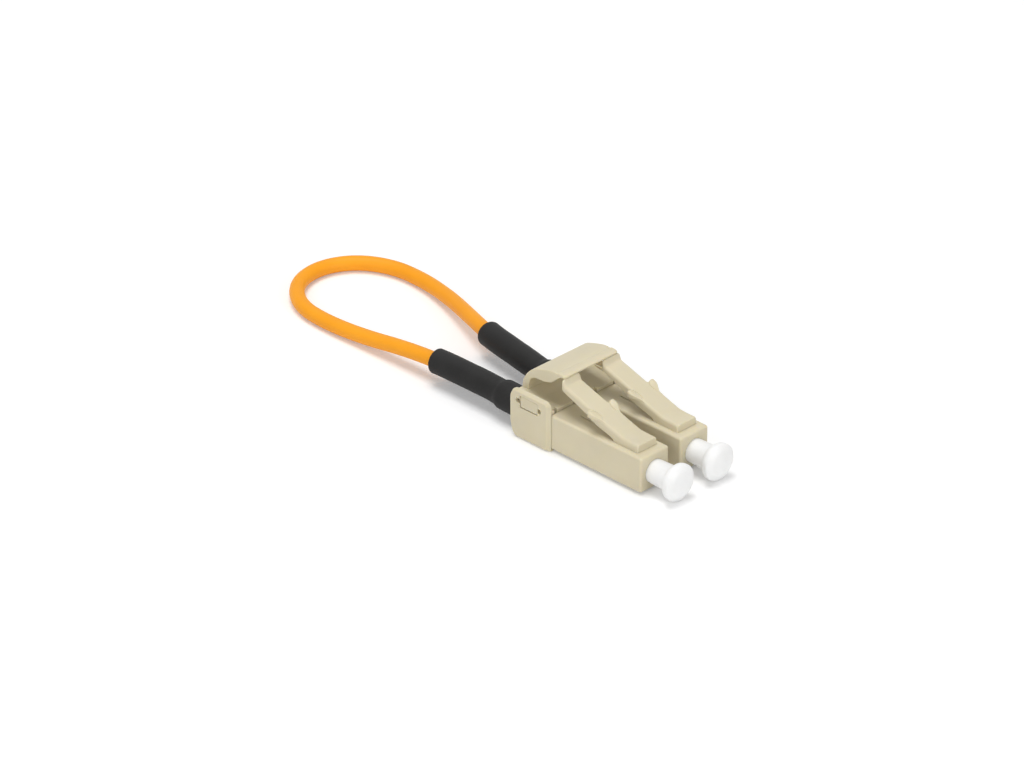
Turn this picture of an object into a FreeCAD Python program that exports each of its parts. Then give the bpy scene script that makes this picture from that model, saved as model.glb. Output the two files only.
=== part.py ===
import FreeCAD, Part
import math
import os
import Sketcher

# Duplex fibre loopback plug: two small-form-factor plugs in a duplex clip, joined by a cable loop.
# Millimetres. +X points out of the plugs' fronts, +Y to the left plug, +Z up from the clip's underside.
# The origin is the middle of the clip's underside.

Vector = FreeCAD.Vector
doc = FreeCAD.newDocument("fibre_loopback_plug")

# Driving dimensions. Places along X are measured from the clip's front face, forwards or back.
SIZES = (
    ("pitch", 6.25, "spacing of the two plug axes"),
    ("clip_len", 6.2, "clip base, length of the side walls"),
    ("clip_wall", 0.4, "clip base, side wall thickness"),
    ("clip_floor", 0.28, "clip base, floor thickness"),
    ("clip_rim", 6.15, "clip base, height of the side walls"),
    ("clip_bevel_len", 0.73, "clip base, rear bottom bevel along X"),
    ("clip_bevel_high", 1.95, "clip base, rear bottom bevel along Z"),
    ("clip_rear_wall", 0.6, "clip base, thickness of the rear wall"),
    ("clip_rear_round", 1.25, "clip base, radius of the rear top corner"),
    ("clip_front_round", 0.45, "clip base, radius of the front top corner"),
    ("clip_edge", 0.15, "clip base, radius of the outer edges"),
    ("bay_play", 0.03, "clearance of a housing in its bay, each side"),
    ("slot_play", 0.1, "clearance of a shrink sleeve in the rear wall's slot"),
    ("window_back", 5.25, "side window, rear end behind the front face"),
    ("window_front", 1.55, "side window, front end behind the front face"),
    ("window_low", 4.02, "side window, height of its lower edge"),
    ("window_high", 1.28, "side window, height of the opening"),
    ("lug_end_gap", 0.52, "gap between the snap lug and each end of the window"),
    ("lug_play", 0.05, "gap between the snap lug and the window's long edges"),
    ("lug_flush", 0.04, "depth of the lug's face below the wall's face"),
    ("skirt_thick", 0.28, "clip deck, thickness of the side skirts"),
    ("skirt_low", 3.6, "clip deck, height of the skirts' lower edge"),
    ("skirt_back", 5.3, "clip deck, rear end of the skirts behind the front face"),
    ("skirt_gap", 0.15, "clip deck, gap between the skirts and the housings' rear ends"),
    ("deck_play", 0.04, "clearance under and beside the clip deck"),
    ("deck_front_back", 0.3, "clip deck, front edge behind the front face"),
    ("deck_rear_back", 6.05, "clip deck, rear edge behind the front face"),
    ("deck_thick", 0.33, "clip deck, thickness at its front"),
    ("deck_mid_back", 3.4, "clip deck, start of the rise behind the front face"),
    ("deck_mid_thick", 0.46, "clip deck, thickness at the start of the rise"),
    ("deck_rise_back", 4.9, "clip deck, end of the rise behind the front face"),
    ("deck_rear_thick", 0.95, "clip deck, thickness at its rear"),
    ("deck_cove_round", 2.5, "clip deck, radius at the start of the rise"),
    ("rib_wide", 2.5, "clip deck, width of the rib over each plug"),
    ("rib_len", 0.55, "clip deck, length of the rib over each plug"),
    ("rib_high", 0.12, "clip deck, height of the rib above the deck"),
    ("rib_hole", 0.42, "side of the square hole at each end of a rib"),
    ("rib_hole_deep", 0.5, "depth of that hole in the housing's top"),
    ("trigger_wide", 8.4, "trigger, width"),
    ("trigger_axis_back", 5.28, "trigger, bending line behind the front face"),
    ("trigger_axis_high", 6.42, "trigger, height of the bending line"),
    ("leg_thick", 0.7, "trigger, thickness of the leg at the bending line"),
    ("leg_lean", 24.0, "trigger, forward lean of the leg in degrees"),
    ("trigger_lip_reach", 0.65, "trigger, lip in front of the front face"),
    ("trigger_lip_high", 9.38, "trigger, height of the lip's top"),
    ("trigger_lip_thick", 0.24, "trigger, thickness of the lip"),
    ("trigger_lip_len", 0.95, "trigger, length of the lip"),
    ("trigger_slope", 11.5, "trigger, rise of the top towards the lip in degrees"),
    ("trigger_under_high", 7.62, "trigger, height of the flat underside"),
    ("trigger_under_back", 1.45, "trigger, front end of the flat underside behind the front face"),
    ("trigger_bend_round", 1.6, "trigger, outer radius of the bend"),
    ("trigger_inner_round", 0.7, "trigger, inner radius of the bend"),
    ("trigger_nose_round", 0.45, "trigger, radius in front of the flat underside"),
    ("hinge_play", 0.04, "clearance round the bending lines of trigger and latches"),
    ("housing_wide", 4.4, "housing, width"),
    ("housing_high", 4.3, "housing, height"),
    ("housing_reach", 13.3, "housing, front face before the clip's front face"),
    ("housing_tuck", 1.5, "housing, rear end inside the clip"),
    ("housing_edge", 0.3, "housing, radius of the outer edges"),
    ("axis_rise", 2.02, "plug axis above the housing's underside"),
    ("cavity_bore", 3.1, "housing, bore of the front cavity"),
    ("cavity_deep", 2.85, "housing, depth of the front cavity"),
    ("seat_wall", 0.6, "housing, wall that the ferrule flange seats on"),
    ("ferrule_play", 0.1, "clearance of the ferrule in the seat wall, radial"),
    ("chamber_bore", 2.9, "housing, bore of the spring chamber"),
    ("slit_wide", 0.25, "housing, width of the slit in its top"),
    ("slit_deep", 0.5, "housing, depth of the slit in its top"),
    ("slit_start", 2.0, "housing, rear end of the slit before the clip's front face"),
    ("slit_len", 4.5, "housing, length of the slit"),
    ("latch_front_gap", 1.17, "latch root behind the housing's front face"),
    ("latch_root_wide", 3.0, "latch root, width"),
    ("latch_root_high", 0.94, "latch root, height above the housing at its front"),
    ("latch_root_flat", 2.04, "latch root, length of its flat top"),
    ("latch_axis_back", 5.1, "latch, bending line behind the housing's front face"),
    ("latch_thick", 1.38, "latch arm, thickness at the bending line"),
    ("latch_tail_thick", 0.75, "latch arm, thickness at the tail"),
    ("tail_reach", 0.52, "latch arm, tail before the clip's front face"),
    ("tail_rise", 2.407, "latch arm, tail above the bending line"),
    ("latch_lip", 32.0, "latch root, lip over the bending line in degrees from upright"),
    ("latch_arm_wide", 2.7, "latch arm, width behind the shoulders"),
    ("latch_edge", 0.15, "latch root, radius of its top edges"),
    ("hook_high", 0.5, "latch arm, height of the hook on the tail"),
    ("hook_len", 0.5, "latch arm, length of the hook's ramp"),
    ("shoulder_back", 3.45, "latch shoulders, rear face behind the bending line"),
    ("shoulder_len", 1.0, "latch shoulders, length"),
    ("shoulder_top", 0.6, "latch shoulders, length of the raised top"),
    ("shoulder_span", 4.1, "latch shoulders, width over both"),
    ("shoulder_proud", 0.12, "latch shoulders, height above the arm"),
    ("ferrule_dia", 1.25, "ferrule, diameter"),
    ("ferrule_proud", 1.55, "ferrule, tip before the housing's front face"),
    ("ferrule_tip", 0.25, "ferrule, chamfer at the tip"),
    ("ferrule_socket", 2.0, "ferrule, length held in the flange"),
    ("collar_dia", 2.7, "ferrule flange, collar diameter"),
    ("collar_len", 1.5, "ferrule flange, collar length"),
    ("stem_dia", 1.6, "ferrule flange, stem diameter"),
    ("stem_len", 6.1, "ferrule flange, stem behind the collar"),
    ("seat_gap", 0.02, "gap between seated faces of moving pieces"),
    ("bond_gap", 0.01, "gap between bonded or pressed pieces"),
    ("spring_wire", 0.3, "ferrule spring, wire diameter"),
    ("spring_mean", 2.2, "ferrule spring, mean coil diameter"),
    ("spring_turns", 6, "ferrule spring, number of turns"),
    ("spring_len", 5.2, "ferrule spring, fitted length"),
    ("block_wide", 3.7, "rear body, width of the block"),
    ("block_len", 3.8, "rear body, length of the block"),
    ("post_dia", 2.2, "rear body, diameter of the crimp post"),
    ("post_len", 2.75, "rear body, length of the crimp post"),
    ("stem_play", 0.1, "clearance of the flange stem in the rear body, radial"),
    ("stem_room", 1.3, "rear body, room behind the flange stem"),
    ("fibre_dia", 0.9, "buffered fibre, diameter"),
    ("fibre_play", 0.1, "clearance of the fibre in the rear body, radial"),
    ("fibre_hold", 2.0, "buffered fibre, length held in the flange stem"),
    ("fibre_slack", 1.3, "buffered fibre, end short of the post's end"),
    ("crimp_wall", 0.35, "crimp sleeve, wall thickness"),
    ("crimp_len", 2.9, "crimp sleeve, length"),
    ("cable_dia", 1.8, "loop cable, outer diameter"),
    ("sleeve_dia", 2.98, "shrink sleeve, outer diameter over the cable"),
    ("sleeve_flare_dia", 3.3, "shrink sleeve, outer diameter over the crimp"),
    ("sleeve_tuck", 0.35, "shrink sleeve, front end inside the clip's rear face"),
    ("sleeve_taper", 0.8, "shrink sleeve, length of the step down behind the crimp"),
    ("sleeve_len_right", 12.4, "right shrink sleeve, length behind the crimp post"),
    ("sleeve_len_left", 12.9, "left shrink sleeve, length behind the crimp post"),
    ("cap_neck_dia", 2.8, "dust cap, neck diameter"),
    ("cap_tuck", 2.4, "dust cap, neck inside the cavity"),
    ("cap_neck_out", 2.9, "dust cap, neck in front of the housing"),
    ("cap_swell_dia", 3.06, "dust cap, neck diameter at the head"),
    ("cap_head_dia", 4.4, "dust cap, head diameter"),
    ("cap_cone_len", 0.45, "dust cap, length of the cone behind the rim"),
    ("cap_rim_len", 0.45, "dust cap, thickness of the rim"),
    ("cap_dome_len", 0.55, "dust cap, height of the domed front"),
    ("cap_dome_flat", 2.4, "dust cap, diameter of the dome's flat middle"),
    ("cap_bore_play", 0.015, "clearance of the ferrule in the dust cap, radial"),
    ("cap_bore_end", 0.5, "dust cap, bore beyond the ferrule's tip"),
)

sheet = doc.addObject("Spreadsheet::Sheet", "dims")
for row, (alias, number, meaning) in enumerate(SIZES, start=1):
    sheet.set(f"A{row}", alias)
    sheet.set(f"B{row}", str(number))
    sheet.setAlias(f"B{row}", alias)
    sheet.set(f"C{row}", meaning)
doc.recompute()

SIDES = {"right": -1, "left": 1}
SUB_PARTS = []
SAME = 1e-4  # two numbers closer than this are the same


def value(expression):
    """The number that an expression on the sheet gives."""
    return float(sheet.evalExpression(expression))


def place_on_plug(piece, side):
    """Moves a plug's piece from the clip's front face to the plug's own axis."""
    piece.setExpression("Placement.Base.x", "dims.clip_len / 2")
    piece.setExpression("Placement.Base.y", f"{side} * dims.pitch / 2")
    piece.setExpression("Placement.Base.z", "dims.clip_floor + dims.axis_rise")


def new_body(label, side=None):
    """A body whose own X starts at the clip's front face; a plug's piece also starts on the plug's axis."""
    body = doc.addObject("PartDesign::Body", label)
    body.Label = label
    if side is None:
        body.setExpression("Placement.Base.x", "dims.clip_len / 2")
    else:
        place_on_plug(body, side)
    SUB_PARTS.append(body)
    return body


def new_sketch(body, role, out=None, at=None, turn=None):
    """A sketch on an origin plane, moved out along its normal, to a place in the plane, and turned."""
    sketch = body.newObject("Sketcher::SketchObject", f"{body.Name}_sketch")
    plane = next(f for f in body.Origin.OriginFeatures if getattr(f, "Role", "") == role)
    sketch.AttachmentSupport = [(plane, "")]
    sketch.MapMode = "FlatFace"
    if out:
        sketch.setExpression("AttachmentOffset.Base.z", out)
    if at:
        sketch.setExpression("AttachmentOffset.Base.x", at[0])
        sketch.setExpression("AttachmentOffset.Base.y", at[1])
    if turn:
        sketch.setExpression("AttachmentOffset.Rotation.Angle", turn)
    return sketch


def bind(sketch, kind, geometry, point, number, expression):
    """One constraint whose value is an expression on the sheet."""
    if kind == "Radius":
        index = sketch.addConstraint(Sketcher.Constraint(kind, geometry, number))
    else:
        index = sketch.addConstraint(Sketcher.Constraint(kind, -1, 1, geometry, point, number))
    if expression != "0":
        sketch.setExpression(f"Constraints[{index}]", expression)


def draw_outline(sketch, points):
    """A closed outline of straight lines with each corner placed by two expressions."""
    corners = [Vector(value(across), value(up), 0) for across, up in points]
    count = len(corners)
    for i in range(count):
        sketch.addGeometry(Part.LineSegment(corners[i], corners[(i + 1) % count]))
    for i in range(count):
        sketch.addConstraint(Sketcher.Constraint("Coincident", i, 2, (i + 1) % count, 1))
    for i, (across, up) in enumerate(points):
        bind(sketch, "DistanceX", i, 1, corners[i].x, across)
        bind(sketch, "DistanceY", i, 1, corners[i].y, up)


def draw_circle(sketch, across, up, radius):
    """A circle placed and sized by expressions."""
    middle = Vector(value(across), value(up), 0)
    index = sketch.addGeometry(Part.Circle(middle, Vector(0, 0, 1), value(radius)))
    bind(sketch, "DistanceX", index, 3, middle.x, across)
    bind(sketch, "DistanceY", index, 3, middle.y, up)
    bind(sketch, "Radius", index, 0, value(radius), radius)


def rectangle(back, front, low, high):
    """The corners of a rectangle."""
    return [(back, low), (front, low), (front, high), (back, high)]


def add(body, sketch, thick):
    """Material on both sides of the sketch."""
    feature = body.newObject("PartDesign::Pad", f"{body.Name}_pad")
    feature.Profile = sketch
    feature.SideType = "Symmetric"
    feature.setExpression("Length", thick)
    doc.recompute()


def must_remove(body, before):
    """Stops if a cut took nothing away."""
    if body.Shape.Volume > before - SAME:
        raise ValueError(f"{body.Label}: a cut removed nothing")


def cut(body, sketch, thick):
    """A cut on both sides of the sketch."""
    before = body.Shape.Volume
    feature = body.newObject("PartDesign::Pocket", f"{body.Name}_pocket")
    feature.Profile = sketch
    feature.SideType = "Symmetric"
    feature.setExpression("Length", thick)
    doc.recompute()
    must_remove(body, before)


def turn_about_axis(body, kind, points):
    """A turned form or cut about the body's X axis, from an outline of (place along X, radius)."""
    sketch = new_sketch(body, "XZ_Plane")
    draw_outline(sketch, points)
    feature = body.newObject(kind, f"{body.Name}_turn")
    feature.Profile = sketch
    feature.ReferenceAxis = (sketch, ["H_Axis"])
    feature.Angle = 360
    doc.recompute()


def turn_solid(body, points):
    """Turned material."""
    turn_about_axis(body, "PartDesign::Revolution", points)


def turn_bore(body, points):
    """A turned cut."""
    before = body.Shape.Volume
    turn_about_axis(body, "PartDesign::Groove", points)
    must_remove(body, before)


def round_edges(body, radius, pick):
    """A fillet on the edges of the body that pick accepts."""
    base = body.Tip
    names = [f"Edge{i}" for i, edge in enumerate(base.Shape.Edges, start=1) if pick(edge)]
    if not names:
        raise ValueError(f"{body.Label}: no edge to round")
    feature = body.newObject("PartDesign::Fillet", f"{body.Name}_fillet")
    feature.Base = (base, names)
    feature.setExpression("Radius", radius)
    doc.recompute()


def runs_along(edge, axis):
    """True for a straight edge along one of the axes x, y or z."""
    if edge.Degenerated or not isinstance(edge.Curve, (Part.Line, Part.LineSegment)):
        return False
    span = edge.Vertexes[-1].Point - edge.Vertexes[0].Point
    return abs(abs(getattr(span, axis)) - span.Length) < SAME


def across_at(points):
    """Picks the edges along Y that pass through the given (x, z) corners of a profile."""
    places = [(value(x), value(z)) for x, z in points]

    def pick(edge):
        if not runs_along(edge, "y"):
            return False
        here = edge.CenterOfMass
        return any(math.hypot(here.x - x, here.z - z) < SAME for x, z in places)

    return pick


def in_plane(edge, axis, place):
    """True for an edge that lies in a plane square to an axis."""
    low = getattr(edge.BoundBox, axis.upper() + "Min")
    high = getattr(edge.BoundBox, axis.upper() + "Max")
    return abs(low - place) < SAME and abs(high - place) < SAME


# Clip base: a moulded cradle with a bay for each plug, open at the front and closed by a rear wall
# with a slot for each cable end. Each side wall has a window for the deck's snap lug.
BAY_WIDE = "(dims.housing_wide + 2 * dims.bay_play)"
CLIP_INNER = f"(dims.pitch + {BAY_WIDE})"
CLIP_WIDE = f"({CLIP_INNER} + 2 * dims.clip_wall)"
HOUSING_TOP = "(dims.clip_floor + dims.housing_high)"
AXIS_HIGH = "(dims.clip_floor + dims.axis_rise)"
PAST = "(2 * dims.clip_len)"
SLOT_WIDE = "(dims.sleeve_flare_dia + 2 * dims.slot_play)"

clip_base = new_body("clip_base")
side_view = [
    ("-dims.clip_len", "dims.clip_bevel_high"),
    ("-dims.clip_len + dims.clip_bevel_len", "0"),
    ("0", "0"),
    ("0", "dims.clip_rim"),
    ("-dims.clip_len", "dims.clip_rim"),
]
sketch = new_sketch(clip_base, "XZ_Plane")
draw_outline(sketch, side_view)
add(clip_base, sketch, CLIP_WIDE)
round_edges(clip_base, "dims.clip_rear_round", across_at(side_view[4:]))
round_edges(clip_base, "dims.clip_front_round", across_at(side_view[3:4]))
clip_side = value(f"{CLIP_WIDE} / 2")
round_edges(clip_base, "dims.clip_edge",
            lambda edge: in_plane(edge, "y", clip_side) or in_plane(edge, "y", -clip_side))
sketch = new_sketch(clip_base, "XZ_Plane")
draw_outline(sketch, rectangle(f"-{PAST}", PAST, HOUSING_TOP, f"{HOUSING_TOP} + dims.clip_rim"))
cut(clip_base, sketch, CLIP_INNER)
for side in SIDES.values():
    plug_y = f"{side} * dims.pitch / 2"
    sketch = new_sketch(clip_base, "XZ_Plane", out=plug_y)
    bay_back = "-dims.clip_len + dims.clip_rear_wall"
    draw_outline(sketch, rectangle(bay_back, PAST, "dims.clip_floor", f"{HOUSING_TOP} + dims.clip_floor"))
    cut(clip_base, sketch, BAY_WIDE)
    sketch = new_sketch(clip_base, "YZ_Plane")
    draw_circle(sketch, plug_y, AXIS_HIGH, f"{SLOT_WIDE} / 2")
    cut(clip_base, sketch, f"2 * {PAST}")
    sketch = new_sketch(clip_base, "YZ_Plane")
    slot_sides = f"{plug_y} - {SLOT_WIDE} / 2", f"{plug_y} + {SLOT_WIDE} / 2"
    draw_outline(sketch, rectangle(*slot_sides, AXIS_HIGH, f"{HOUSING_TOP} + dims.clip_floor"))
    cut(clip_base, sketch, f"2 * {PAST}")
    sketch = new_sketch(clip_base, "XZ_Plane", out=f"{side} * ({CLIP_INNER} + dims.clip_wall) / 2")
    window_ends = "-dims.window_back", "-dims.window_front"
    window_top = "dims.window_low + dims.window_high"
    draw_outline(sketch, rectangle(*window_ends, "dims.window_low", window_top))
    cut(clip_base, sketch, "dims.clip_wall + dims.deck_play")

# Clip deck: the moulded top of the clip. It lies on the plugs between the side walls, its skirts hang
# inside the walls and carry the snap lugs, and a thin leg at its rear carries the trigger.
DECK_LOW = f"({HOUSING_TOP} + dims.deck_play)"
DECK_FRONT = "(-dims.deck_front_back)"
DECK_TOP = f"({DECK_LOW} + dims.deck_thick)"
DECK_REAR_TOP = f"({DECK_LOW} + dims.deck_rear_thick)"
DECK_SIDE = f"({CLIP_INNER} / 2 - dims.deck_play)"
LEG_AT = ("-dims.trigger_axis_back", "dims.trigger_axis_high")
LEG_HALF = "(dims.leg_thick / 2)"
LEG_FOOT = f"(({LEG_AT[1]} - {DECK_LOW}) / cos(dims.leg_lean) - dims.leg_thick)"

clip_deck = new_body("clip_deck")
deck_view = [
    ("-dims.deck_rear_back", DECK_LOW),
    (DECK_FRONT, DECK_LOW),
    (DECK_FRONT, DECK_TOP),
    ("-dims.deck_mid_back", f"{DECK_LOW} + dims.deck_mid_thick"),
    ("-dims.deck_rise_back", DECK_REAR_TOP),
    ("-dims.deck_rear_back", DECK_REAR_TOP),
]
sketch = new_sketch(clip_deck, "XZ_Plane")
draw_outline(sketch, deck_view)
add(clip_deck, sketch, f"2 * {DECK_SIDE}")
round_edges(clip_deck, "dims.deck_cove_round", across_at(deck_view[3:4]))
sketch = new_sketch(clip_deck, "XZ_Plane", at=LEG_AT, turn="-dims.leg_lean")
draw_outline(sketch, rectangle(f"-{LEG_HALF}", LEG_HALF, f"-{LEG_FOOT}", "0"))
add(clip_deck, sketch, "dims.trigger_wide")
sketch = new_sketch(clip_deck, "XZ_Plane")
draw_circle(sketch, *LEG_AT, f"{LEG_HALF} + dims.hinge_play")
cut(clip_deck, sketch, "dims.trigger_wide + dims.clip_wall")
for side in SIDES.values():
    sketch = new_sketch(clip_deck, "XZ_Plane", out=f"{side} * ({DECK_SIDE} - dims.skirt_thick / 2)")
    skirt_front = "-dims.housing_tuck - dims.skirt_gap"
    skirt_top = f"{DECK_LOW} + dims.deck_thick / 2"
    draw_outline(sketch, rectangle("-dims.skirt_back", skirt_front, "dims.skirt_low", skirt_top))
    add(clip_deck, sketch, "dims.skirt_thick")
    lug_thick = "(dims.clip_wall + dims.deck_play - dims.lug_flush)"
    sketch = new_sketch(clip_deck, "XZ_Plane", out=f"{side} * ({DECK_SIDE} + {lug_thick} / 2)")
    lug_back = "-dims.window_back + dims.lug_end_gap"
    lug_front = "-dims.window_front - dims.lug_end_gap"
    lug_low = "dims.window_low + dims.lug_play"
    lug_top = "dims.window_low + dims.window_high - dims.lug_play"
    draw_outline(sketch, rectangle(lug_back, lug_front, lug_low, lug_top))
    add(clip_deck, sketch, lug_thick)
    plug_y = f"{side} * dims.pitch / 2"
    sketch = new_sketch(clip_deck, "XZ_Plane", out=plug_y)
    rib_top = f"{DECK_TOP} + dims.rib_high"
    draw_outline(sketch, rectangle(f"{DECK_FRONT} - dims.rib_len", DECK_FRONT, DECK_LOW, rib_top))
    add(clip_deck, sketch, "dims.rib_wide")
    for end in (-1, 1):
        hole_y = f"{plug_y} + {end} * (dims.rib_wide + dims.rib_hole) / 2"
        sketch = new_sketch(clip_deck, "XZ_Plane", out=hole_y)
        hole_back = f"{DECK_FRONT} - dims.rib_hole"
        draw_outline(sketch, rectangle(hole_back, PAST, "dims.skirt_low", rib_top))
        cut(clip_deck, sketch, "dims.rib_hole")

# Trigger: the bridge over both latches, moulded in one with the deck. Its lip hooks over the latch
# tails, and pressing it bends its thin leg. It is split from the deck at the bending line.
LEAN_TAN = "tan(dims.leg_lean)"
SLOPE_TAN = "tan(dims.trigger_slope)"
LEG_OFF = (f"{LEG_HALF} * cos(dims.leg_lean)", f"{LEG_HALF} * sin(dims.leg_lean)")
LEG_OUT = (f"({LEG_AT[0]} - {LEG_OFF[0]})", f"({LEG_AT[1]} + {LEG_OFF[1]})")
LEG_IN = (f"({LEG_AT[0]} + {LEG_OFF[0]})", f"({LEG_AT[1]} - {LEG_OFF[1]})")
TOP_RUN = f"(dims.trigger_lip_reach - {LEG_OUT[0]} + {LEG_OUT[1]} * {LEAN_TAN})"
BEND_HIGH = f"((dims.trigger_lip_high - {TOP_RUN} * {SLOPE_TAN}) / (1 - {LEAN_TAN} * {SLOPE_TAN}))"
BEND = (f"{LEG_OUT[0]} + ({BEND_HIGH} - {LEG_OUT[1]}) * {LEAN_TAN}", BEND_HIGH)
INNER = (f"{LEG_IN[0]} + (dims.trigger_under_high - {LEG_IN[1]}) * {LEAN_TAN}", "dims.trigger_under_high")
NOSE = ("-dims.trigger_under_back", "dims.trigger_under_high")
LIP_LOW = "(dims.trigger_lip_high - dims.trigger_lip_thick)"

clip_trigger = new_body("clip_trigger")
sketch = new_sketch(clip_trigger, "XZ_Plane")
draw_outline(sketch, [
    LEG_OUT,
    LEG_IN,
    INNER,
    NOSE,
    ("dims.trigger_lip_reach - dims.trigger_lip_len", f"{LIP_LOW} - dims.trigger_lip_len * {SLOPE_TAN}"),
    ("dims.trigger_lip_reach", LIP_LOW),
    ("dims.trigger_lip_reach", "dims.trigger_lip_high"),
    BEND,
])
add(clip_trigger, sketch, "dims.trigger_wide")
round_edges(clip_trigger, "dims.trigger_bend_round", across_at([BEND]))
round_edges(clip_trigger, "dims.trigger_inner_round", across_at([INNER]))
round_edges(clip_trigger, "dims.trigger_nose_round", across_at([NOSE]))
sketch = new_sketch(clip_trigger, "XZ_Plane")
draw_circle(sketch, *LEG_AT, LEG_HALF)
add(clip_trigger, sketch, "dims.trigger_wide")

# Housings: square moulded tubes. The front cavity takes the socket's sleeve, a wall behind it seats the
# ferrule flange, and the spring chamber runs to the rear end. The latch root stands on the top.
HOUSING_BACK = "(-dims.housing_tuck)"
TOP_RISE = "(dims.housing_high - dims.axis_rise)"
CAVITY_END = "(dims.housing_reach - dims.cavity_deep)"
SEAT = f"({CAVITY_END} - dims.seat_wall)"
ROOT_FRONT = "(dims.housing_reach - dims.latch_front_gap)"
SOCKET = "(dims.latch_thick / 2 + dims.hinge_play)"
LATCH_AT = ("(dims.housing_reach - dims.latch_axis_back)", f"({TOP_RISE} + {SOCKET})")
LIP_OFF = (f"{SOCKET} * sin(dims.latch_lip)", f"{SOCKET} * cos(dims.latch_lip)")

for name, side in SIDES.items():
    housing = new_body(f"housing_{name}", side)
    sketch = new_sketch(housing, "XZ_Plane")
    draw_outline(sketch, rectangle(HOUSING_BACK, "dims.housing_reach", "-dims.axis_rise", TOP_RISE))
    add(housing, sketch, "dims.housing_wide")
    front = value("dims.housing_reach")
    round_edges(housing, "dims.housing_edge",
                lambda edge: runs_along(edge, "x") or in_plane(edge, "x", front))
    root_top = f"{TOP_RISE} + dims.latch_root_high"
    root_foot = f"{TOP_RISE} - dims.housing_edge"
    lip = (f"{LATCH_AT[0]} + {LIP_OFF[0]}", f"{LATCH_AT[1]} + {LIP_OFF[1]}")
    root_view = [
        (LATCH_AT[0], root_foot),
        (ROOT_FRONT, root_foot),
        (ROOT_FRONT, root_top),
        (f"{ROOT_FRONT} - dims.latch_root_flat", root_top),
        lip,
        LATCH_AT,
    ]
    sketch = new_sketch(housing, "XZ_Plane")
    draw_outline(sketch, root_view)
    add(housing, sketch, "dims.latch_root_wide")
    round_edges(housing, "dims.latch_edge", across_at(root_view[2:3]))
    sketch = new_sketch(housing, "XZ_Plane")
    draw_circle(sketch, *LATCH_AT, SOCKET)
    cut(housing, sketch, "dims.latch_root_wide + dims.hinge_play")
    for end in (-1, 1):
        sketch = new_sketch(housing, "XZ_Plane", out=f"{end} * (dims.rib_wide + dims.rib_hole) / 2")
        hole_low = f"{TOP_RISE} - dims.rib_hole_deep"
        hole_back = f"{DECK_FRONT} - dims.rib_hole"
        draw_outline(sketch, rectangle(hole_back, DECK_FRONT, hole_low, root_top))
        cut(housing, sketch, "dims.rib_hole")
    slit_end = "dims.slit_start + dims.slit_len"
    sketch = new_sketch(housing, "XZ_Plane")
    draw_outline(sketch, rectangle("dims.slit_start", slit_end, f"{TOP_RISE} - dims.slit_deep", TOP_RISE))
    cut(housing, sketch, "dims.slit_wide")
    ferrule_hole = "dims.ferrule_dia / 2 + dims.ferrule_play"
    turn_bore(housing, [
        (HOUSING_BACK, "0"),
        (HOUSING_BACK, "dims.chamber_bore / 2"),
        (SEAT, "dims.chamber_bore / 2"),
        (SEAT, ferrule_hole),
        (CAVITY_END, ferrule_hole),
        (CAVITY_END, "dims.cavity_bore / 2"),
        ("dims.housing_reach", "dims.cavity_bore / 2"),
        ("dims.housing_reach", "0"),
    ])

# Latches: the sprung arm of each housing, moulded in one with it and split from it at the bending line.
# The front stretch is as wide as the root, two shoulders lock in the socket, and the hook on the tail
# lies under the trigger's lip.
LATCH_HALF = "(dims.latch_thick / 2)"
LATCH_RUN = f"({LATCH_AT[0]} - dims.tail_reach)"
LATCH_LEN = f"hypot({LATCH_RUN}; dims.tail_rise)"
LATCH_SLOPE = f"atan2(dims.tail_rise; {LATCH_RUN})"
ARM_TAPER = f"((dims.latch_thick - dims.latch_tail_thick) / {LATCH_LEN})"
HOOK_TOP = f"({LATCH_HALF} + dims.hook_high)"
HOOK_BACK = f"({LATCH_LEN} + (dims.latch_tail_thick + dims.hook_high) * tan({LATCH_SLOPE}))"
WIDE_LOW = f"(dims.shoulder_back * {ARM_TAPER} - {LATCH_HALF})"
SHOULDER_TOP = f"({LATCH_HALF} + dims.shoulder_proud)"
SHOULDER_FRONT = "(-dims.shoulder_back + dims.shoulder_len)"

for name, side in SIDES.items():
    latch = new_body(f"latch_{name}", side)
    along_arm = {"at": LATCH_AT, "turn": f"-{LATCH_SLOPE}"}
    sketch = new_sketch(latch, "XZ_Plane", **along_arm)
    draw_circle(sketch, "0", "0", LATCH_HALF)
    add(latch, sketch, "dims.latch_root_wide")
    sketch = new_sketch(latch, "XZ_Plane", **along_arm)
    draw_outline(sketch, [
        ("0", f"-{LATCH_HALF}"),
        ("0", LATCH_HALF),
        (f"-{HOOK_BACK} + dims.hook_len", LATCH_HALF),
        (f"-{HOOK_BACK}", HOOK_TOP),
        (f"-{LATCH_LEN}", f"{LATCH_HALF} - dims.latch_tail_thick"),
    ])
    add(latch, sketch, "dims.latch_arm_wide")
    sketch = new_sketch(latch, "XZ_Plane", **along_arm)
    draw_outline(sketch, [
        ("0", f"-{LATCH_HALF}"),
        ("0", LATCH_HALF),
        ("-dims.shoulder_back", LATCH_HALF),
        ("-dims.shoulder_back", WIDE_LOW),
    ])
    add(latch, sketch, "dims.latch_root_wide")
    for end in (-1, 1):
        shoulder_mid = f"{end} * (dims.shoulder_span + dims.latch_arm_wide) / 4"
        sketch = new_sketch(latch, "XZ_Plane", out=shoulder_mid, **along_arm)
        draw_outline(sketch, [
            ("-dims.shoulder_back", WIDE_LOW),
            (SHOULDER_FRONT, WIDE_LOW),
            (SHOULDER_FRONT, LATCH_HALF),
            ("-dims.shoulder_back + dims.shoulder_top", SHOULDER_TOP),
            ("-dims.shoulder_back", SHOULDER_TOP),
        ])
        add(latch, sketch, "(dims.shoulder_span - dims.latch_arm_wide) / 2")

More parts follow.
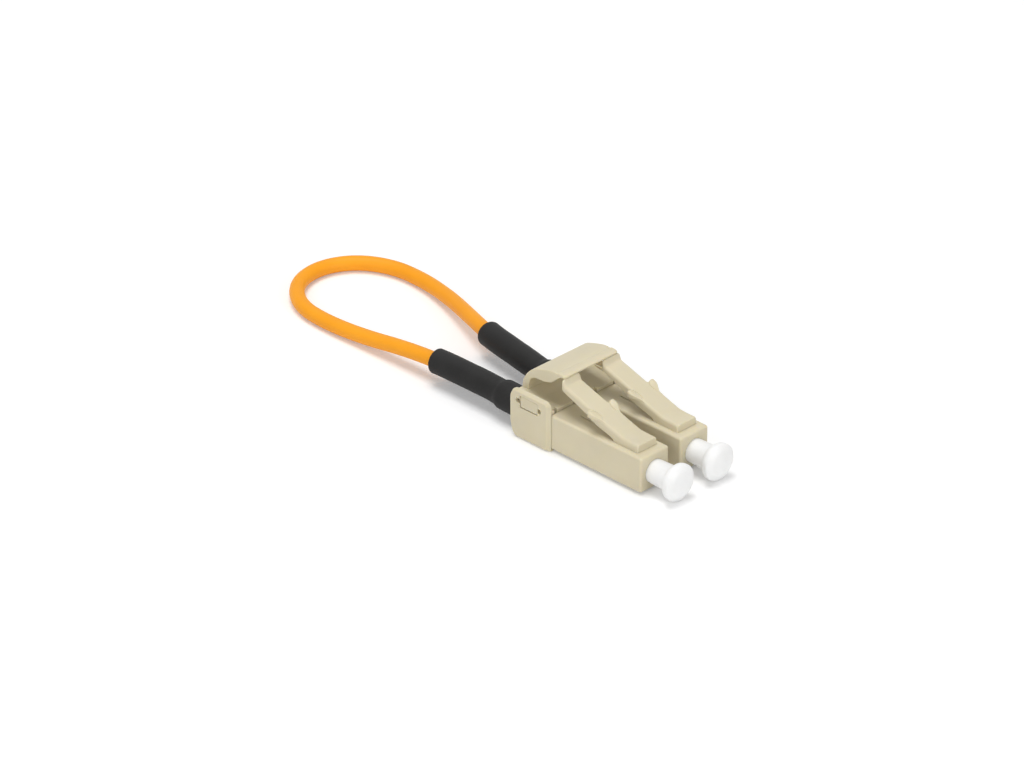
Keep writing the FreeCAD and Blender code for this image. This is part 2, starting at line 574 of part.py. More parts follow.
# Ferrules, their flanges and springs: the flange seats on the housing's inner wall and is pushed there
# by the spring, which stands on the rear body.
COLLAR_FRONT = f"({SEAT} - dims.seat_gap)"
COLLAR_BACK = f"({COLLAR_FRONT} - dims.collar_len)"
STEM_END = f"({COLLAR_BACK} - dims.stem_len)"
FERRULE_BACK = f"({COLLAR_FRONT} - dims.ferrule_socket)"
FERRULE_TIP = "(dims.housing_reach + dims.ferrule_proud)"
FERRULE_RAD = "(dims.ferrule_dia / 2)"
FIBRE_RAD = "(dims.fibre_dia / 2)"
SPIGOT_FRONT = f"({COLLAR_BACK} - dims.spring_len - 2 * dims.seat_gap)"
BLOCK_FRONT = f"({HOUSING_BACK} - dims.bond_gap)"
BLOCK_BACK = f"({BLOCK_FRONT} - dims.block_len)"
POST_END = f"({BLOCK_BACK} - dims.post_len)"

for name, side in SIDES.items():
    ferrule = new_body(f"ferrule_{name}", side)
    turn_solid(ferrule, [
        (FERRULE_BACK, "0"),
        (FERRULE_BACK, FERRULE_RAD),
        (f"{FERRULE_TIP} - dims.ferrule_tip", FERRULE_RAD),
        (FERRULE_TIP, f"{FERRULE_RAD} - dims.ferrule_tip"),
        (FERRULE_TIP, "0"),
    ])
    flange = new_body(f"ferrule_flange_{name}", side)
    socket_end = f"{FERRULE_BACK} - dims.bond_gap"
    turn_solid(flange, [
        (STEM_END, f"{FIBRE_RAD} + dims.bond_gap"),
        (STEM_END, "dims.stem_dia / 2"),
        (COLLAR_BACK, "dims.stem_dia / 2"),
        (COLLAR_BACK, "dims.collar_dia / 2"),
        (COLLAR_FRONT, "dims.collar_dia / 2"),
        (COLLAR_FRONT, f"{FERRULE_RAD} + dims.bond_gap"),
        (socket_end, f"{FERRULE_RAD} + dims.bond_gap"),
        (socket_end, f"{FIBRE_RAD} + dims.bond_gap"),
    ])
    coil_start = f"({SPIGOT_FRONT} + dims.seat_gap + dims.spring_wire / 2)"
    coil = doc.addObject("Part::Helix", f"ferrule_coil_{name}")
    coil.setExpression("Radius", "dims.spring_mean / 2")
    coil.setExpression("Height", "dims.spring_len - dims.spring_wire")
    coil.setExpression("Pitch", "(dims.spring_len - dims.spring_wire) / dims.spring_turns")
    wire = doc.addObject("Part::Circle", f"ferrule_wire_{name}")
    wire.setExpression("Radius", "dims.spring_wire / 2")
    wire.setExpression("Placement.Base.x", "dims.spring_mean / 2")
    wire.Placement.Rotation = FreeCAD.Rotation(Vector(1, 0, 0), 90)
    spring = doc.addObject("Part::Sweep", f"ferrule_spring_{name}")
    spring.Label = f"ferrule_spring_{name}"
    spring.Sections = [wire]
    spring.Spine = (coil, ["Edge1"])
    spring.Solid = True
    spring.Frenet = True
    place_on_plug(spring, side)
    spring.setExpression("Placement.Base.x", f"dims.clip_len / 2 + {coil_start}")
    spring.Placement.Rotation = FreeCAD.Rotation(Vector(0, 1, 0), 90)
    SUB_PARTS.append(spring)
    doc.recompute()

# Rear bodies: moulded pieces pressed into the housings' rear ends, held in the clip's bays. The spring
# stands on the spigot, the flange stem runs in its well, and the cable is crimped on the post.
for name, side in SIDES.items():
    rear_body = new_body(f"rear_body_{name}", side)
    sketch = new_sketch(rear_body, "XZ_Plane")
    block_low = "-dims.axis_rise + dims.bay_play"
    block_top = f"{TOP_RISE} - dims.bay_play"
    draw_outline(sketch, rectangle(BLOCK_BACK, BLOCK_FRONT, block_low, block_top))
    add(rear_body, sketch, "dims.block_wide")
    turn_solid(rear_body, [
        (POST_END, "0"),
        (POST_END, "dims.post_dia / 2"),
        (BLOCK_BACK, "dims.post_dia / 2"),
        (BLOCK_FRONT, "dims.chamber_bore / 2 - dims.bond_gap"),
        (SPIGOT_FRONT, "dims.chamber_bore / 2 - dims.bond_gap"),
        (SPIGOT_FRONT, "0"),
    ])
    well_end = f"{STEM_END} - dims.stem_room"
    well_rad = "dims.stem_dia / 2 + dims.stem_play"
    fibre_hole = f"{FIBRE_RAD} + dims.fibre_play"
    turn_bore(rear_body, [
        (POST_END, "0"),
        (POST_END, fibre_hole),
        (well_end, fibre_hole),
        (well_end, well_rad),
        (SPIGOT_FRONT, well_rad),
        (SPIGOT_FRONT, "0"),
    ])

# Buffered fibres: bonded in the flange stems. Each ends short of the cable, where the real fibre bows
# as the ferrule is pushed back.
for name, side in SIDES.items():
    fibre = new_body(f"fibre_{name}", side)
    fibre_front = f"{STEM_END} + dims.fibre_hold"
    fibre_back = f"{POST_END} + dims.fibre_slack"
    turn_solid(fibre, rectangle(fibre_back, fibre_front, "0", FIBRE_RAD))

# Crimp sleeves: metal tubes squeezed on the posts over the cable's yarn.
CRIMP_RAD = "(dims.post_dia / 2 + dims.bond_gap)"
CRIMP_OUT = f"({CRIMP_RAD} + dims.crimp_wall)"
CRIMP_END = f"({BLOCK_BACK} - dims.bond_gap - dims.crimp_len)"
for name, side in SIDES.items():
    crimp = new_body(f"crimp_sleeve_{name}", side)
    turn_solid(crimp, rectangle(CRIMP_END, f"{BLOCK_BACK} - dims.bond_gap", CRIMP_RAD, CRIMP_OUT))

# Dust caps: soft moulded caps pushed over the ferrules, the neck in the front cavity, with a domed
# head to pull them by.
for name, side in SIDES.items():
    cap = new_body(f"dust_cap_{name}", side)
    neck_end = "(dims.housing_reach + dims.cap_neck_out)"
    rim_back = f"({neck_end} + dims.cap_cone_len)"
    rim_front = f"({rim_back} + dims.cap_rim_len)"
    cap_back = "(dims.housing_reach - dims.cap_tuck)"
    dome_front = f"({rim_front} + dims.cap_dome_len)"
    cap_bore = f"{FERRULE_RAD} + dims.cap_bore_play"
    bore_end = f"{FERRULE_TIP} + dims.cap_bore_end"
    turn_solid(cap, [
        (cap_back, cap_bore),
        (cap_back, "dims.cap_neck_dia / 2"),
        ("dims.housing_reach", "dims.cap_neck_dia / 2"),
        (neck_end, "dims.cap_swell_dia / 2"),
        (rim_back, "dims.cap_head_dia / 2"),
        (rim_front, "dims.cap_head_dia / 2"),
        (dome_front, "dims.cap_dome_flat / 2"),
        (dome_front, "0"),
        (bore_end, "0"),
        (bore_end, cap_bore),
    ])

# Loop cable: one simplex cable from post to post. It leaves each plug along its axis inside the shrink
# sleeve, comes down to the surface and turns back in a loop that lies there. A bend is (distance behind
# the posts' ends, y, height above the plug axes).
post_end = value(f"dims.clip_len / 2 + {POST_END} - dims.bond_gap")
axis_high = value(AXIS_HIGH)
plug_off = value("dims.pitch / 2")
laid = value("dims.cable_dia / 2 + dims.bond_gap") - axis_high
BENDS = [
    (2.43, -plug_off, 0.0),
    (5.70, -3.05, 0.35),
    (11.51, -3.16, 0.35),
    (17.57, -3.08, -0.20),
    (23.82, -3.37, -1.08),
    (29.65, -3.62, laid),
    (34.57, -3.13, laid),
    (38.56, -0.20, laid),
    (39.79, 4.22, laid),
    (38.02, 8.48, laid),
    (33.86, 10.93, laid),
    (28.68, 11.11, laid),
    (23.26, 9.77, -1.01),
    (17.98, 7.51, -0.26),
    (12.65, 5.20, 0.30),
    (7.00, 4.15, 0.36),
    (2.83, plug_off, 0.0),
]
ROUTE = [(post_end - back, y, axis_high + rise) for back, y, rise in BENDS]
ROUTE = [(post_end, -plug_off, axis_high)] + ROUTE + [(post_end, plug_off, axis_high)]
ARC_SHARE = 0.45


def route_edges(points):
    """Straight runs joined by tangent arcs, each arc as large as its two runs allow."""
    corners = [Vector(*point) for point in points]
    edges = []
    radii = []
    start = corners[0]
    for before, corner, after in zip(corners, corners[1:], corners[2:]):
        into = (before - corner).normalize()
        away = (after - corner).normalize()
        turn = math.pi - into.getAngle(away)
        reach = ARC_SHARE * min((before - corner).Length, (after - corner).Length)
        first = corner + into * reach
        last = corner + away * reach
        radius = reach / math.tan(turn / 2)
        radii.append(radius)
        inward = (into + away).normalize()
        middle = corner + inward * (math.hypot(reach, radius) - radius)
        edges.append(Part.LineSegment(start, first).toShape())
        edges.append(Part.Arc(first, middle, last).toShape())
        start = last
    edges.append(Part.LineSegment(start, corners[-1]).toShape())
    return edges, radii


def tube_along(edges, radius):
    """A round solid along joined edges."""
    path = Part.Wire(edges)
    start = edges[0].valueAt(edges[0].FirstParameter)
    ahead = edges[0].tangentAt(edges[0].FirstParameter)
    ring = Part.Wire(Part.Circle(start, ahead, radius).toShape())
    solid = path.makePipeShell([ring], True, False)
    expected = math.pi * radius ** 2 * path.Length
    if abs(solid.Volume - expected) > 0.01 * expected:
        raise ValueError(f"tube volume {solid.Volume:.3f} is not {expected:.3f}")
    return solid


def first_stretch(edges, length):
    """The edges of a path up to a length along it."""
    kept = []
    left = length
    for edge in edges:
        if edge.Length >= left:
            end = edge.getParameterByLength(left)
            kept.append(edge.Curve.toShape(edge.FirstParameter, end))
            return kept
        kept.append(edge)
        left -= edge.Length
    raise ValueError("the path is shorter than the stretch")


def new_feature(label, shape):
    """A sub-part whose shape is made here, in the part's own frame."""
    feature = doc.addObject("Part::Feature", label)
    feature.Label = label
    feature.Shape = shape
    feature.Placement = FreeCAD.Placement()
    SUB_PARTS.append(feature)


cable_rad = value("dims.cable_dia / 2")
cable_edges, cable_radii = route_edges(ROUTE)
new_feature("loop_cable", tube_along(cable_edges, cable_rad))
print("cable radii", [round(radius, 1) for radius in cable_radii])
print("cable length", round(Part.Wire(cable_edges).Length, 2))

# Shrink sleeves: black heat-shrink tubes from inside the clip's rear wall, over the crimp, where they
# stand wider, and along the cable.
back_edges = route_edges(ROUTE[::-1])[0]
sleeve_rad = value("dims.sleeve_dia / 2")
flare_rad = value("dims.sleeve_flare_dia / 2")
hole_rad = value("dims.cable_dia / 2 + dims.bond_gap")
sleeve_front = value("-dims.clip_len / 2 + dims.sleeve_tuck")
crimp_end = value(f"dims.clip_len / 2 + {CRIMP_END} - dims.bond_gap")
crimp_rad = value(f"{CRIMP_OUT} + dims.bond_gap")
taper_end = crimp_end - value("dims.sleeve_taper")


def sleeve_flare(side, front_rad, back_rad):
    """A turned form from the sleeve's front end to where it is down to the cable."""
    corners = [
        (sleeve_front, 0),
        (sleeve_front, front_rad),
        (crimp_end, front_rad),
        (taper_end, back_rad),
        (taper_end, 0),
    ]
    middle = Vector(0, side * plug_off, axis_high)
    points = [middle + Vector(x, 0, up) for x, up in corners]
    face = Part.Face(Part.makePolygon(points + points[:1]))
    return face.revolve(middle, Vector(1, 0, 0), 360)


for name, side in SIDES.items():
    edges = cable_edges if side < 0 else back_edges
    stretch = first_stretch(edges, value(f"dims.sleeve_len_{name}"))
    outside = tube_along(stretch, sleeve_rad).fuse(sleeve_flare(side, flare_rad, sleeve_rad))
    inside = tube_along(edges, hole_rad).fuse(sleeve_flare(side, crimp_rad, hole_rad))
    new_feature(f"shrink_sleeve_{name}", outside.cut(inside).removeSplitter())

doc.recompute()

# Every object has to be sound before anything is written.
for item in doc.Objects:
    if "Invalid" in item.State or "Error" in item.State:
        raise ValueError(f"{item.Label} failed: {item.State}")
for piece in SUB_PARTS:
    if piece.Shape.isNull() or not piece.Shape.isValid() or len(piece.Shape.Solids) != 1:
        raise ValueError(f"{piece.Label} is not one sound solid")
os.makedirs("parts", exist_ok=True)
for piece in SUB_PARTS:
    piece.Shape.exportStep(f"parts/{piece.Label}.step")
    print(piece.Label, round(piece.Shape.Volume, 3))
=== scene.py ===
import math

import bmesh
import bpy
from mathutils import Matrix, Vector


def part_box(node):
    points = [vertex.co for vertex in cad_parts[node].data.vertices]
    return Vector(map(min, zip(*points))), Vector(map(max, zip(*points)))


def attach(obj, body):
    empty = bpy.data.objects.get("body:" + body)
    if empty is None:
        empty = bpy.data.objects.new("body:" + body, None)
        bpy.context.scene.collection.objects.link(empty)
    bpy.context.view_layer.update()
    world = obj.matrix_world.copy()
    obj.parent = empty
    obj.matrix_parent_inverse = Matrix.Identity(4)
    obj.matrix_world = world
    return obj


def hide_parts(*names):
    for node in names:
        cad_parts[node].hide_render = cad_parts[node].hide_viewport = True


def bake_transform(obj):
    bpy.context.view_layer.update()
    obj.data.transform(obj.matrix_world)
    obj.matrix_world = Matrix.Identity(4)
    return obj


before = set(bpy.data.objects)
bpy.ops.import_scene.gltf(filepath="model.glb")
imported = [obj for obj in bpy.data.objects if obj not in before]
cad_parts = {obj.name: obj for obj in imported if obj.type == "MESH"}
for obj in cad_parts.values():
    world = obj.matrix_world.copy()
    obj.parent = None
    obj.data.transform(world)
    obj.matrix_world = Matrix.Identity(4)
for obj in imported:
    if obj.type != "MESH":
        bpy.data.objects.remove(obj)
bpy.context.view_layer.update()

# Camera: a long lens that looks down on the front right corner of the plugs, as for a catalogue, from
# so far away that parallel edges stay nearly parallel.
MM = 0.001
AZIMUTH = math.radians(44.88)
ELEVATION = math.radians(29.61)
DISTANCE = 0.7
LOOK_AT = Vector((-10.863, 2.303, 0.0)) * MM
AWAY = Vector((math.sin(AZIMUTH) * math.cos(ELEVATION),
               -math.cos(AZIMUTH) * math.cos(ELEVATION), math.sin(ELEVATION)))
camera = bpy.data.objects.new("camera", bpy.data.cameras.new("camera"))
camera.data.lens = 220
camera.data.sensor_width = 36
camera.location = LOOK_AT + AWAY * DISTANCE
camera.rotation_euler = (-AWAY).to_track_quat("-Z", "Y").to_euler()
scene = bpy.context.scene
scene.collection.objects.link(camera)
scene.camera = camera
scene.view_settings.view_transform = "Standard"


# Studio: a white sweep in a white room. A softbox above and a little behind throws a short shadow
# towards the camera, a low broad one lights the near side, and another the front of the plugs.
class Wire:
    """One value in a shader. Sums and products of wires add their Math nodes."""

    def __init__(self, tree, socket=None):
        self.tree = tree
        self.socket = socket

    def node(self, kind, settings=None, sockets=None, out=0):
        """Any node: its settings first, then the values or wires of its sockets."""
        made = self.tree.nodes.new(kind)
        for name, setting in (settings or {}).items():
            if name == "stops":
                for stop, (place, colour) in zip(made.color_ramp.elements, setting):
                    stop.position = place
                    stop.color = (*colour, 1.0)
            else:
                setattr(made, name, setting)
        for name, given in (sockets or {}).items():
            if isinstance(given, Wire):
                self.tree.links.new(given.socket, made.inputs[name])
            else:
                made.inputs[name].default_value = given
        return Wire(self.tree, made.outputs[out] if made.outputs else None)

    def math(self, operation, first, second):
        return self.node("ShaderNodeMath", {"operation": operation}, {0: first, 1: second})

    def __add__(self, other):
        return self.math("ADD", self, other)

    def __mul__(self, other):
        return self.math("MULTIPLY", self, other)

    __radd__ = __add__
    __rmul__ = __mul__


def seen_directly(start):
    """1 for what the camera sees, straight or in a mirror or through glass."""
    rays = [start.node("ShaderNodeLightPath", out=name)
            for name in ("Is Camera Ray", "Is Glossy Ray", "Is Transmission Ray")]
    return start.math("MINIMUM", rays[0] + rays[1] + rays[2], 1.0)


def new_finish(name):
    """An empty material and the start of its shader."""
    material = bpy.data.materials.new(name)
    material.use_nodes = True
    material.node_tree.nodes.clear()
    return material, Wire(material.node_tree)


WHITE = (1.0, 1.0, 1.0, 1.0)
ROOM_LIGHT = 0.36
world = bpy.data.worlds.new("white_room")
scene.world = world
world.use_nodes = True
world.node_tree.nodes.clear()
room = Wire(world.node_tree)
lighting = room.node("ShaderNodeBackground", {}, {"Color": WHITE, "Strength": ROOM_LIGHT})
backdrop = room.node("ShaderNodeBackground", {}, {"Color": WHITE, "Strength": 1.0})
room.node("ShaderNodeOutputWorld", {}, {
    "Surface": room.node("ShaderNodeMixShader", {}, {0: seen_directly(room), 1: lighting, 2: backdrop})})

PAPER_COLOUR = (0.88, 0.88, 0.88, 1.0)
PAPER_GLOW = 0.17
FLOOR_HALF = 3.0
FLOOR_HIGH = -0.00001
paper, start = new_finish("white_sweep")
fibres = start.node("ShaderNodeTexNoise", {}, {
    "Vector": start.node("ShaderNodeTexCoord", out="Object"), "Scale": 900.0, "Detail": 3.0})
sheet = start.node("ShaderNodeBsdfPrincipled", {}, {
    "Base Color": PAPER_COLOUR, "Roughness": 0.9, "Specular IOR Level": 0.0,
    "Normal": start.node("ShaderNodeBump", {}, {"Strength": 0.05, "Distance": 0.00002, "Height": fibres})})
glow = start.node("ShaderNodeEmission", {}, {"Color": WHITE, "Strength": PAPER_GLOW})
lifted = start.node("ShaderNodeAddShader", {}, {0: sheet, 1: glow})
start.node("ShaderNodeOutputMaterial", {}, {
    "Surface": start.node("ShaderNodeMixShader", {}, {0: seen_directly(start), 1: sheet, 2: lifted})})
floor_mesh = bpy.data.meshes.new("floor")
floor_mesh.from_pydata([(x, y, FLOOR_HIGH) for x, y in (
    (-FLOOR_HALF, -FLOOR_HALF), (FLOOR_HALF, -FLOOR_HALF),
    (FLOOR_HALF, FLOOR_HALF), (-FLOOR_HALF, FLOOR_HALF))], [], [(0, 1, 2, 3)])
floor_mesh.materials.append(paper)
floor = bpy.data.objects.new("floor", floor_mesh)
scene.collection.objects.link(floor)


def softbox(name, place, size, power):
    """A square area lamp that faces the object."""
    lamp = bpy.data.lights.new(name, "AREA")
    lamp.size = size
    lamp.energy = power
    box = bpy.data.objects.new(name, lamp)
    box.location = place
    box.rotation_euler = (LOOK_AT - Vector(place)).to_track_quat("-Z", "Y").to_euler()
    scene.collection.objects.link(box)


softbox("softbox_above", (-0.08, -0.01, 0.55), size=0.30, power=1.66)
softbox("softbox_side", (0.10, -0.53, 0.275), size=0.42, power=0.98)
softbox("softbox_front", (0.60, -0.02, 0.20), size=0.35, power=1.20)

# Loop cable: one simplex multimode cable, an orange extruded jacket on a fibre, that comes out of one
# plug, lies on the table in a loop and goes back into the other plug.
CABLE_WIDE = 1.8
CABLE_ROUTE = [
    (-4.97, -3.125, 2.30), (-6.20, -3.09, 2.45), (-8.20, -3.00, 2.63), (-12.20, -3.00, 2.62),
    (-17.00, -3.02, 2.58), (-22.54, -3.08, 2.10), (-28.79, -3.37, 1.22), (-34.62, -3.62, 0.91),
    (-39.54, -3.13, 0.91), (-43.53, -0.20, 0.91), (-44.76, 4.22, 0.91), (-42.99, 8.48, 0.91),
    (-38.83, 10.93, 0.91), (-33.65, 11.11, 0.91), (-28.23, 9.77, 1.29), (-22.95, 7.51, 2.04),
    (-17.40, 5.23, 2.62), (-12.40, 4.34, 2.63), (-8.20, 3.58, 2.63), (-6.20, 3.20, 2.45),
    (-4.97, 3.125, 2.30),
]
jacket, start = new_finish("orange_jacket")
place = start.node("ShaderNodeTexCoord", out="Object")
drift = start.node("ShaderNodeTexNoise", {}, {"Vector": place, "Scale": 160.0, "Detail": 2.0})
grain = start.node("ShaderNodeTexNoise", {}, {"Vector": place, "Scale": 5200.0, "Detail": 4.0})
colour = start.node("ShaderNodeValToRGB", {"stops": [
    (0.3, (0.90, 0.345, 0.012)), (0.7, (0.96, 0.385, 0.017))]}, {"Fac": drift})
start.node("ShaderNodeOutputMaterial", {}, {"Surface": start.node("ShaderNodeBsdfPrincipled", {}, {
    "Base Color": colour, "Roughness": 0.42 + 0.12 * grain, "Specular IOR Level": 0.2,
    "Normal": start.node("ShaderNodeBump", {}, {
        "Strength": 0.15, "Distance": 0.00003, "Height": grain})})})


def route_spline(name, wide):
    """The cable's route as a curve of one smooth open spline."""
    line = bpy.data.curves.new(name, "CURVE")
    line.dimensions = "3D"
    line.bevel_depth = wide / 2 * MM
    line.bevel_resolution = 8
    line.use_fill_caps = wide > 0
    spline = line.splines.new("NURBS")
    spline.points.add(len(CABLE_ROUTE) - 1)
    for point, spot in zip(spline.points, CABLE_ROUTE):
        point.co = (*(Vector(spot) * MM), 1.0)
    spline.order_u = 3
    spline.use_endpoint_u = True
    spline.resolution_u = 14
    return bpy.data.objects.new(name, line)


cable = route_spline("orange_cable", CABLE_WIDE)
cable.data.materials.append(jacket)
scene.collection.objects.link(cable)
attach(cable, "plug_pair")
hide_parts("loop_cable")

# Shrink sleeves: black heat-shrink tubes, shrunk over the crimp at the plug, where they stand wider, and
# over the first stretch of the cable. The cut ends are square.
PLUG_Y = {"right": -3.125, "left": 3.125}
SLEEVE_LONG = {"right": 12.4, "left": 12.9}
SLEEVE_WIDE = 2.98
SLEEVE_FLARE = 3.5
SLEEVE_BORE = 1.84
CRIMP_BORE = 2.95
SLEEVE_FRONT = -2.75
SLEEVE_HIGH = 2.5
SLEEVE_HID = 2.22
FLARE_END = -6.5
TAPER_END = -7.4
BORE_END = -7.8
SLEEVE_WAVES = [(0.006, 1.7, 0.6), (0.004, 3.9, 0.0)]
SLEEVE_AROUND = 48
MOUTH_STEPS = 16
END_ROUND = 0.1
END_STEPS = 3

shrink, start = new_finish("black_shrink_tube")
place = start.node("ShaderNodeTexCoord", out="Object")
pores = start.node("ShaderNodeTexNoise", {}, {"Vector": place, "Scale": 4200.0, "Detail": 5.0})
rubbed = start.node("ShaderNodeTexNoise", {}, {"Vector": place, "Scale": 420.0, "Detail": 3.0})
colour = start.node("ShaderNodeValToRGB", {"stops": [
    (0.35, (0.013, 0.0126, 0.0122)), (0.75, (0.020, 0.0195, 0.019))]}, {"Fac": rubbed})
start.node("ShaderNodeOutputMaterial", {}, {"Surface": start.node("ShaderNodeBsdfPrincipled", {}, {
    "Base Color": colour, "Roughness": 0.48 + 0.22 * rubbed, "Specular IOR Level": 0.18,
    "Normal": start.node("ShaderNodeBump", {}, {
        "Strength": 0.35, "Distance": 0.00004, "Height": pores + 0.8 * rubbed})})})


def finished(name, mesh, finish, sharp=40.0):
    """The object of a mesh made in millimetres, shaded smooth over its rounds and evenly on its flats."""
    mesh.transform(Matrix.Scale(MM, 4))
    mesh.shade_smooth()
    mesh.set_sharp_from_angle(angle=math.radians(sharp))
    mesh.materials.clear()
    mesh.materials.append(finish)
    piece = bpy.data.objects.new(name, mesh)
    scene.collection.objects.link(piece)
    even = piece.modifiers.new("even_shading", "WEIGHTED_NORMAL")
    even.weight = 100
    even.keep_sharp = True
    return piece


def sound_mesh(name, points, faces):
    """A closed mesh with its faces turned outwards."""
    mesh = bpy.data.meshes.new(name)
    mesh.from_pydata(points, [], faces)
    work = bmesh.new()
    work.from_mesh(mesh)
    bmesh.ops.remove_doubles(work, verts=work.verts, dist=1e-6)
    bmesh.ops.recalc_face_normals(work, faces=work.faces)
    work.to_mesh(mesh)
    work.free()
    return mesh


def ring_faces(rings, around, closed=False):
    """Quads between rings of points laid one after the other."""
    quads = []
    for ring in range(rings if closed else rings - 1):
        near = ring * around
        far = (ring + 1) % rings * around
        for step in range(around):
            ahead = (step + 1) % around
            quads.append((near + step, near + ahead, far + ahead, far + step))
    return quads


def part_way(place, start, end):
    """How far a place is on the way from start to end, from 0 to 1."""
    return min(max((place - start) / (end - start), 0.0), 1.0)


def eased(place, start, end):
    """The same with a soft start and finish."""
    share = part_way(place, start, end)
    return share * share * (3 - 2 * share)


bare = route_spline("bare_route", 0)
route_mesh = bpy.data.meshes.new_from_object(bare)
route_points = [vertex.co / MM for vertex in route_mesh.vertices]
bpy.data.objects.remove(bare)
bpy.data.meshes.remove(route_mesh)


def sleeve_path(side):
    """Points from the sleeve's front end along the plug's axis and then along the cable."""
    along = route_points if side == "right" else route_points[::-1]
    along = [spot for spot in along[:len(along) // 2] if spot.x < TAPER_END]
    mouth = Vector((SLEEVE_FRONT, PLUG_Y[side], SLEEVE_HIGH))
    path = [mouth.lerp(along[0], step / MOUTH_STEPS) for step in range(MOUTH_STEPS + 1)]
    left = SLEEVE_LONG[side] - (along[0] - mouth).length + SLEEVE_HID
    for before, after in zip(along, along[1:]):
        run = (after - before).length
        if run >= left:
            path.append(before.lerp(after, left / run))
            break
        path.append(after)
        left -= run
    return path


def outside_of_sleeve(x, gone):
    """The outer radius: the flare over the crimp, and then the shrunk tube with its slight waves."""
    ease = eased(x, FLARE_END, TAPER_END)
    wave = sum(high * math.sin(gone * often + first) for high, often, first in SLEEVE_WAVES)
    return SLEEVE_FLARE / 2 + (SLEEVE_WIDE - SLEEVE_FLARE) / 2 * ease + wave * ease


def inside_of_sleeve(x):
    """The radius of the bore, which narrows from the crimp to the cable."""
    return CRIMP_BORE / 2 + (SLEEVE_BORE - CRIMP_BORE) / 2 * part_way(x, FLARE_END, BORE_END)


def sleeve_mesh(side):
    """A tube with a wall: out along the outside, round the cut end and back along the bore."""
    path = sleeve_path(side)
    stations = []
    gone = 0.0
    for number, spot in enumerate(path):
        if number:
            gone += (spot - path[number - 1]).length
        ahead = (path[min(number + 1, len(path) - 1)] - path[max(number - 1, 0)]).normalized()
        stations.append((spot, ahead, gone))
    last, ahead, total = stations[-1]
    rows = [(spot, way, outside_of_sleeve(spot.x, gone)) for spot, way, gone in stations
            if total - gone > END_ROUND]
    wide = outside_of_sleeve(last.x, total)
    for step in range(END_STEPS + 1):
        turn = math.pi / 2 * step / END_STEPS
        rows.append((last - ahead * END_ROUND * (1 - math.sin(turn)), ahead,
                     wide - END_ROUND * (1 - math.cos(turn))))
    rows += [(spot, way, inside_of_sleeve(spot.x)) for spot, way, _ in reversed(stations)]
    points = []
    for spot, way, radius in rows:
        across = way.cross(Vector((0, 0, 1))).normalized()
        up = across.cross(way)
        for step in range(SLEEVE_AROUND):
            turn = 2 * math.pi * step / SLEEVE_AROUND
            points.append(spot + across * (radius * math.cos(turn)) + up * (radius * math.sin(turn)))
    return sound_mesh("sleeve", points, ring_faces(len(rows), SLEEVE_AROUND, closed=True))


for side in PLUG_Y:
    sleeve = finished(f"black_sleeve_{side}", sleeve_mesh(side), shrink)
    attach(sleeve, "plug_pair")
    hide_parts(f"shrink_sleeve_{side}")

# Clip base: a beige moulded cradle with a bay for each plug and a bevelled rim. It is open at the front,
# with a window in each side wall for the snap lugs of the top and a slot behind for each cable end.
FRONT = 3.1
AXIS_HIGH = 2.30
HOUSING_TOP = 4.58
CLIP_HALF = 5.755
CLIP_INNER = 5.355
CLIP_FRONT = -0.25
CLIP_SIDE = [(-6.40, 2.0, 0.9), (-6.13, 0.7, 0.7), (-5.55, 0.0, 0.4), (CLIP_FRONT, 0.0, 0.16),
             (CLIP_FRONT, 6.15, 0.7), (-6.40, 6.15, 1.3)]
CLIP_EDGE = 0.36
CLIP_RIM = [0.6, 0.6, 0.6, 1.5, 1.0, 0.6]
CLIP_SOFT = 0.05
BEVELLED = [(0.0, 1.0), (0.03, 0.92), (0.10, 0.83), (0.83, 0.10), (0.92, 0.03), (1.0, 0.0)]
ROLLED = [(1 - math.cos(math.radians(turn)), 1 - math.sin(math.radians(turn))) for turn in range(0, 91, 15)]
FLOOR_THICK = 0.28
BAY_HALF = 2.23
BAY_BACK = -5.6
BAY_TOP = HOUSING_TOP + 1.0
SLOT_HALF = 1.8
SLOT_TOP = HOUSING_TOP + 0.5
LUG = (-4.72, -2.10, 4.03, 5.38)
LUG_ROUND = 0.1
LUG_PLAY = 0.08
NOTCHES = [(-5.38, -4.5, 4.46, 5.06), (-2.3, -1.5, 4.30, 4.90)]
NOTCH_ROUND = 0.22
WINDOW_DEEP = 0.42
PAST = 14.0
MOST_OF_EDGE = 0.49
LEAST_ROUND = 0.01
SOFT_ANGLE = math.radians(50)

beige, start = new_finish("beige_plastic")
place = start.node("ShaderNodeTexCoord", out="Object")
flow = start.node("ShaderNodeTexNoise", {}, {"Vector": place, "Scale": 230.0, "Detail": 3.0})
spark = start.node("ShaderNodeTexNoise", {}, {"Vector": place, "Scale": 7000.0, "Detail": 4.0})
colour = start.node("ShaderNodeValToRGB", {"stops": [
    (0.3, (0.640, 0.575, 0.412)), (0.7, (0.675, 0.607, 0.437))]}, {"Fac": flow})
start.node("ShaderNodeOutputMaterial", {}, {"Surface": start.node("ShaderNodeBsdfPrincipled", {}, {
    "Base Color": colour, "Roughness": 0.42 + 0.14 * spark, "Specular IOR Level": 0.3,
    "Subsurface Weight": 0.35, "Subsurface Radius": (1.0, 0.78, 0.36), "Subsurface Scale": 0.0004,
    "Normal": start.node("ShaderNodeBump", {}, {
        "Strength": 0.12, "Distance": 0.00002, "Height": spark})})})


